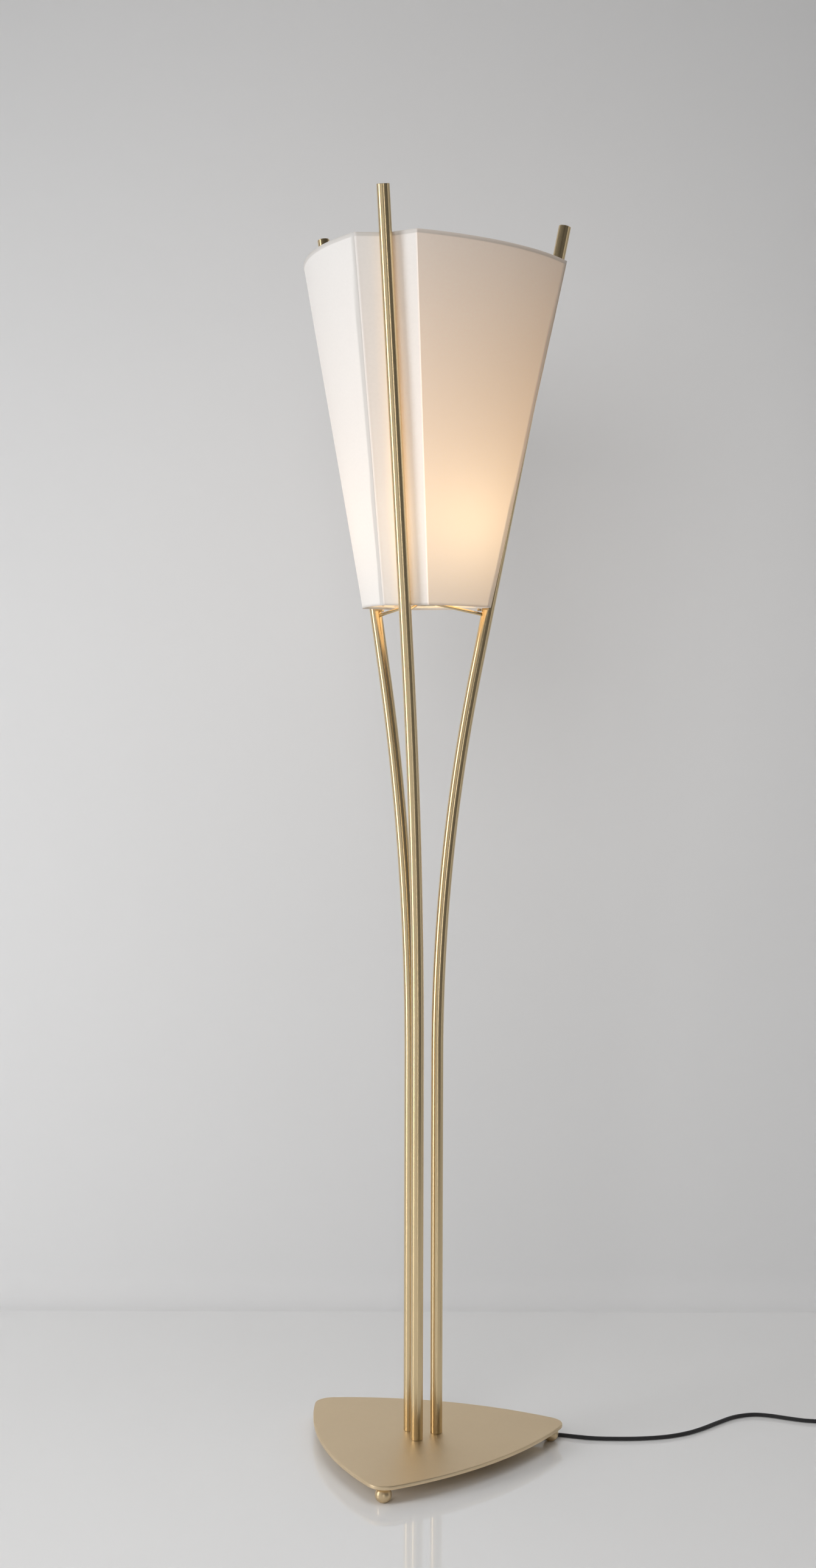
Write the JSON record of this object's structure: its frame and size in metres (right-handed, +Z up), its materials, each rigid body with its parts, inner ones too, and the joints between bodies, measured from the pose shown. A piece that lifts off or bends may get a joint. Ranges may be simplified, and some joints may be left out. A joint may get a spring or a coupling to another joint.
{
  "type": "tripod floor lamp",
  "caption": "Floor lamp with bent brass tubes on a rounded triangular base, which flare out through the grooves of a tapered fabric shade.",
  "frame": {"origin": "on the floor, at the centre of the lamp's footprint box without the cord", "axes": "+Z up along the stem, -Y towards the front tube, +X towards the side where the cord leaves"},
  "size_m": [0.7794, 0.463, 1.6116],
  "materials": {
    "plate_brass": "satin lacquered brass, fine grain",
    "ball_brass": "satin turned brass",
    "tube_brass": "satin brass tube, fine lengthwise grain",
    "arm_brass": "satin brass rod",
    "fitting_brass": "bright machined brass",
    "fixing_steel": "zinc-plated steel",
    "bulb_metal": "bare pressed metal",
    "bulb_glass": "frosted glass",
    "holder_plastic": "off-white moulded thermoset",
    "wire_cover": "black wire insulation",
    "shade_fabric": "white laminated plain-weave cotton",
    "shade_wire": "white coated wire",
    "cord_textile": "black braided textile",
    "black_plastic": "black moulded plastic",
    "pin_metal": "nickel-plated pins"
  },
  "bodies": {
    "stand": {"arm_front": "arm_brass", "arm_hub": "arm_brass", "arm_left": "arm_brass", "arm_right": "arm_brass", "base_bolt_left": "fixing_steel", "base_bolt_right": "fixing_steel", "base_lead": "cord_textile", "base_nipple": "fitting_brass", "base_nut": "fixing_steel", "base_plate": "plate_brass", "clamp_screw_1": "fixing_steel", "clamp_screw_2": "fixing_steel", "coil_tie": "black_plastic", "cord_clamp": "black_plastic", "cord_coil": "cord_textile", "cord_end": "cord_textile", "cord_run": "cord_textile", "cord_tail": "cord_textile", "foot_front": "ball_brass", "foot_left": "ball_brass", "foot_right": "ball_brass", "foot_stud_front": "fixing_steel", "foot_stud_left": "fixing_steel", "foot_stud_right": "fixing_steel", "holder_nipple": "fitting_brass", "lampholder_body": "holder_plastic", "lampholder_contact": "fitting_brass", "lampholder_insulator": "holder_plastic", "lampholder_shell": "fitting_brass", "plug_body": "black_plastic", "plug_pin_1": "pin_metal", "plug_pin_2": "pin_metal", "shade_pin_front": "fitting_brass", "shade_pin_left": "fitting_brass", "shade_pin_right": "fitting_brass", "stem_wires": "wire_cover", "strain_relief": "black_plastic", "switch_base": "black_plastic", "switch_core": "holder_plastic", "switch_cover": "black_plastic", "switch_screw_1": "fixing_steel", "switch_screw_2": "fixing_steel", "tube_front": "tube_brass", "tube_insert_front": "fixing_steel", "tube_insert_left": "fixing_steel", "tube_insert_right": "fixing_steel", "tube_left": "tube_brass", "tube_right": "tube_brass"},
    "shade": {"shade_panel_right": "shade_fabric", "shade_panel_rear": "shade_fabric", "shade_panel_left": "shade_fabric", "shade_wire_low": "shade_wire", "shade_wire_high": "shade_wire", "shade_rib_front": "shade_wire", "shade_rib_right": "shade_wire", "shade_rib_left": "shade_wire"},
    "bulb_carrier": {"bulb_tip": "bulb_metal"},
    "bulb": {"bulb_cap": "bulb_metal", "bulb_glass": "bulb_glass"},
    "button": {"switch_button": "black_plastic"}
  },
  "joints": [
    {"name": "shade_lift", "type": "slide", "parent": "stand", "child": "shade", "axis": [0, 0, 1], "range_m": [0, 0.52]},
    {"name": "bulb_rise", "type": "slide", "parent": "stand", "child": "bulb_carrier", "axis": [0, 0, 1], "range_m": [0, 0.0146]},
    {"name": "bulb_turn", "type": "hinge", "parent": "bulb_carrier", "child": "bulb", "pos_m": [0, 0.0248, 1.16], "axis": [0, 0, 1], "range_deg": [0, 1440]},
    {"name": "button_press", "type": "slide", "parent": "stand", "child": "button", "axis": [0, 0, -1], "range_m": [0, 0.003], "stiffness_N_per_m": 600, "springref_m": -0.002}
  ],
  "couplings": [
    {"joint": "bulb_rise", "follows": "bulb_turn", "m_per_rad": 0.00057773}
  ]
}
